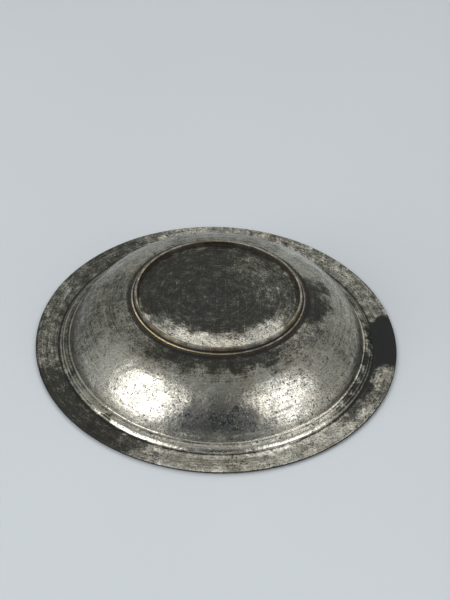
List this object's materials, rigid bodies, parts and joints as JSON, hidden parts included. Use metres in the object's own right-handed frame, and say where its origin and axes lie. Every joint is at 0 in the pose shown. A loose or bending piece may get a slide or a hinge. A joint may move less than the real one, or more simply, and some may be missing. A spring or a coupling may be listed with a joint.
{
  "type": "offering plate",
  "caption": "Round spun-metal plate with a domed bowl, stepped flat rim and soldered foot ring, stored upside down.",
  "frame": {"origin": "on the plate's axis, at the level of the surface that its rim lies on", "axes": "+Z along the axis, from the rim up to the foot ring; the plate is stored upside down, so it turns 180 degrees about X for use"},
  "size_m": [0.2502, 0.2502, 0.042],
  "materials": {
    "tarnished_plate": "worn silver plate over brass, tarnished and scratched",
    "worn_ring_plate": "worn silver plate, brass showing on the edges",
    "solder": "dull soft solder, dark with dirt"
  },
  "bodies": {
    "root": {"dish_body": "tarnished_plate", "foot_ring": "worn_ring_plate", "outer_solder_seam": "solder", "inner_solder_seam": "solder"}
  },
  "joints": []
}
